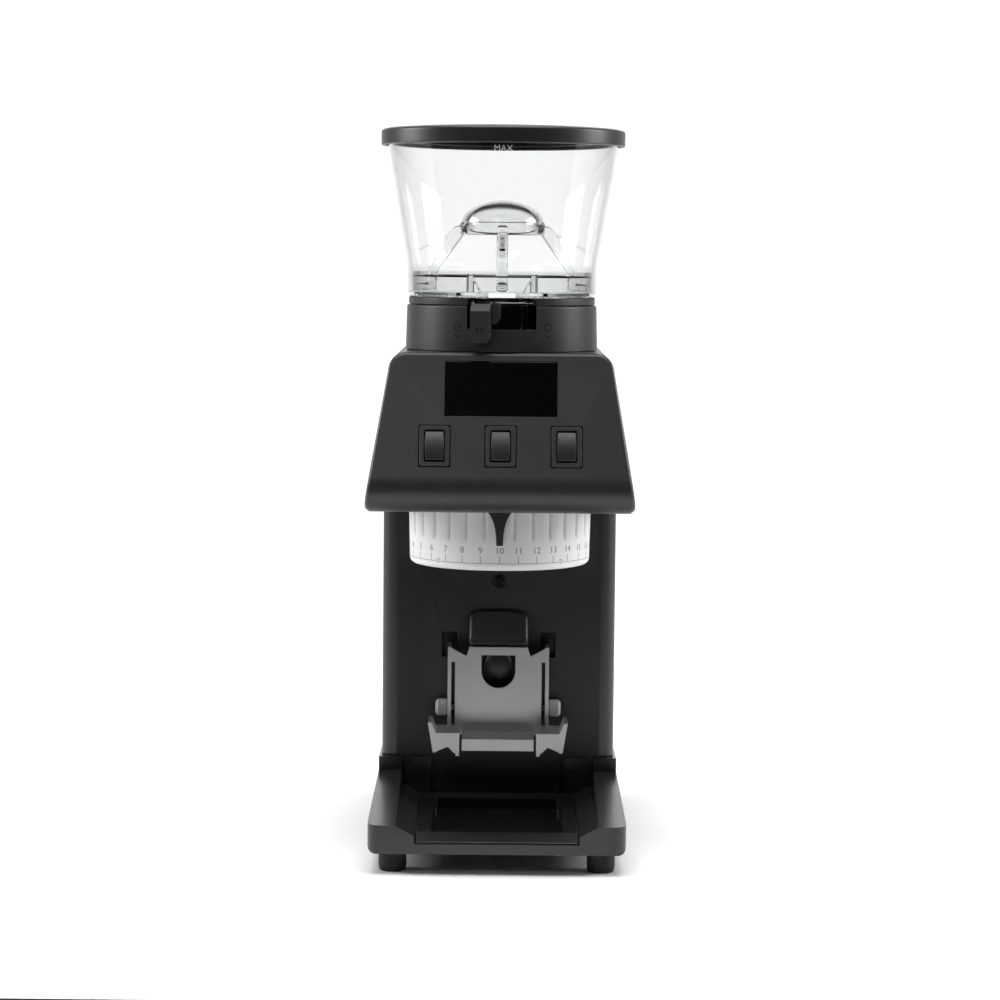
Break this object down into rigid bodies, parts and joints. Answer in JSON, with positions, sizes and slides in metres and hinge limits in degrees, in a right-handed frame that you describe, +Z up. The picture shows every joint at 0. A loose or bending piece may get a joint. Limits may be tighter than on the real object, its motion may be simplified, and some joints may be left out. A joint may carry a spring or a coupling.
{
  "type": "burr coffee grinder",
  "caption": "Upright espresso burr grinder with a clear bean hopper, sloping display panel, turning grind ring, portafilter fork and grounds tray.",
  "frame": {"origin": "centre of the footprint on the table, under the feet", "axes": "+Z up, +Y towards the back of the grinder, +X to the right of a user facing the display"},
  "size_m": [0.136, 0.237, 0.372],
  "materials": {
    "foot_rubber": "moulded, dull",
    "base_plastic": "fine spark-eroded texture",
    "tray_plastic": "satin",
    "column_paint": "fine matt powder coat",
    "cover_screw_zinc": "black zinc",
    "front_screw_steel": "black oxide",
    "inlet_plastic": "moulded",
    "switch_frame": "satin",
    "switch_key": "satin",
    "circuit_board": "green solder mask",
    "chassis_steel": "galvanised",
    "motor_can": "as cast",
    "shaft_steel": "ground",
    "pulley_aluminium": "turned",
    "belt_rubber": "moulded",
    "cast_aluminium": "die cast and turned",
    "burr_steel": "hardened and ground",
    "ring_plastic": "milky, slightly translucent",
    "pointer_plastic": "satin",
    "inner_plastic": "moulded",
    "head_plastic": "fine spark-eroded texture",
    "display_glass": "polished black window",
    "trim_plastic": "satin",
    "clear_plastic": "polished clear",
    "lever_plastic": "satin",
    "lid_plastic": "satin",
    "seal_rubber": "silicone",
    "button_rubber": "silicone",
    "fork_steel": "brushed stainless sheet",
    "roller_metal": "satin"
  },
  "bodies": {
    "body": {"foot_front_left": "foot_rubber", "foot_front_right": "foot_rubber", "foot_back_left": "foot_rubber", "foot_back_right": "foot_rubber", "base_plate": "base_plastic", "column_shell": "column_paint", "rear_cover": "column_paint", "cover_screw_1": "cover_screw_zinc", "cover_screw_2": "cover_screw_zinc", "cover_screw_3": "cover_screw_zinc", "cover_screw_4": "cover_screw_zinc", "mains_inlet": "inlet_plastic", "power_switch_bezel": "switch_frame", "front_screw": "front_screw_steel", "power_board": "circuit_board", "chassis": "chassis_steel", "motor": "motor_can", "drive_belt": "belt_rubber", "spindle_bearing": "shaft_steel", "burr_barrel": "cast_aluminium", "grind_pointer": "pointer_plastic", "bean_funnel": "inner_plastic", "head_shell": "head_plastic", "control_panel": "head_plastic", "display_window": "display_glass", "display_board": "circuit_board", "switch_bezel_left": "switch_frame", "switch_bezel_middle": "switch_frame", "switch_bezel_right": "switch_frame", "neck_collar": "head_plastic", "button_ring": "trim_plastic", "microswitch": "inner_plastic", "button_visor": "head_plastic", "hook_socket_left": "inner_plastic", "hook_socket_right": "inner_plastic"},
    "tray": {"grounds_tray": "tray_plastic"},
    "mains_rocker": {"power_switch_rocker": "switch_key"},
    "rotor": {"motor_shaft": "shaft_steel", "motor_pulley": "pulley_aluminium"},
    "grinding_head": {"spindle": "cast_aluminium", "driven_pulley": "pulley_aluminium", "upper_burr": "burr_steel"},
    "lower_burr_lift": {"lower_burr": "burr_steel", "burr_carrier": "cast_aluminium"},
    "adjuster": {"adjusting_ring": "ring_plastic"},
    "rocker_left": {"switch_rocker_left": "switch_key"},
    "rocker_middle": {"switch_rocker_middle": "switch_key"},
    "rocker_right": {"switch_rocker_right": "switch_key"},
    "hopper_unit": {"hopper": "clear_plastic", "hopper_base_ring": "trim_plastic", "bean_guard": "clear_plastic"},
    "shutter": {"shutter_plate": "clear_plastic", "shutter_lever": "lever_plastic"},
    "lid_unit": {"lid": "lid_plastic", "lid_seal": "seal_rubber"},
    "button": {"dose_button": "button_rubber"},
    "fork_unit": {"fork": "fork_steel", "fork_roller_left": "roller_metal", "fork_roller_right": "roller_metal"}
  },
  "joints": [
    {"name": "tray_lift", "type": "slide", "parent": "body", "child": "tray", "axis": [0, 0, 1], "range_m": [0, 0.015]},
    {"name": "mains_rocker_tilt", "type": "hinge", "parent": "body", "child": "mains_rocker", "pos_m": [0.022, 0.1135, 0.07], "axis": [1, 0, 0], "range_deg": [0, 20]},
    {"name": "spindle_spin", "type": "hinge", "parent": "body", "child": "grinding_head", "pos_m": [0, -0.0215, 0.19], "axis": [0, 0, 1], "continuous": true},
    {"name": "motor_spin", "type": "hinge", "parent": "body", "child": "rotor", "pos_m": [0, 0.073, 0.19], "axis": [0, 0, 1], "continuous": true},
    {"name": "grind_adjust", "type": "hinge", "parent": "body", "child": "adjuster", "pos_m": [0, -0.0215, 0.16], "axis": [0, 0, 1], "range_deg": [-120, 120]},
    {"name": "burr_gap", "type": "slide", "parent": "body", "child": "lower_burr_lift", "axis": [0, 0, 1], "range_m": [-0.00051, 0.00051]},
    {"name": "rocker_left_tilt", "type": "hinge", "parent": "body", "child": "rocker_left", "pos_m": [-0.033, -0.08558, 0.20996], "axis": [1, 0, 0], "range_deg": [-8, 8], "stiffness_Nm_per_rad": 0.05},
    {"name": "rocker_middle_tilt", "type": "hinge", "parent": "body", "child": "rocker_middle", "pos_m": [0, -0.08558, 0.20996], "axis": [1, 0, 0], "range_deg": [-8, 8], "stiffness_Nm_per_rad": 0.05},
    {"name": "rocker_right_tilt", "type": "hinge", "parent": "body", "child": "rocker_right", "pos_m": [0.033, -0.08558, 0.20996], "axis": [1, 0, 0], "range_deg": [-8, 8], "stiffness_Nm_per_rad": 0.05},
    {"name": "hopper_lift", "type": "slide", "parent": "body", "child": "hopper_unit", "axis": [0, 0, 1], "range_m": [0, 0.025]},
    {"name": "shutter_swing", "type": "hinge", "parent": "hopper_unit", "child": "shutter", "pos_m": [0, -0.0215, 0.283], "axis": [0, 0, 1], "range_deg": [0, 23]},
    {"name": "lid_lift", "type": "slide", "parent": "hopper_unit", "child": "lid_unit", "axis": [0, 0, 1], "range_m": [0, 0.015]},
    {"name": "button_press", "type": "slide", "parent": "body", "child": "button", "axis": [0, 1, 0], "range_m": [0, 0.0035], "stiffness_N_per_m": 400},
    {"name": "fork_pull", "type": "slide", "parent": "body", "child": "fork_unit", "axis": [0, -1, 0], "range_m": [0, 0.02]}
  ],
  "couplings": [
    {"joint": "spindle_spin", "follows": "motor_spin", "ratio": 0.33333},
    {"joint": "burr_gap", "follows": "grind_adjust", "m_per_rad": 0.00023873}
  ]
}
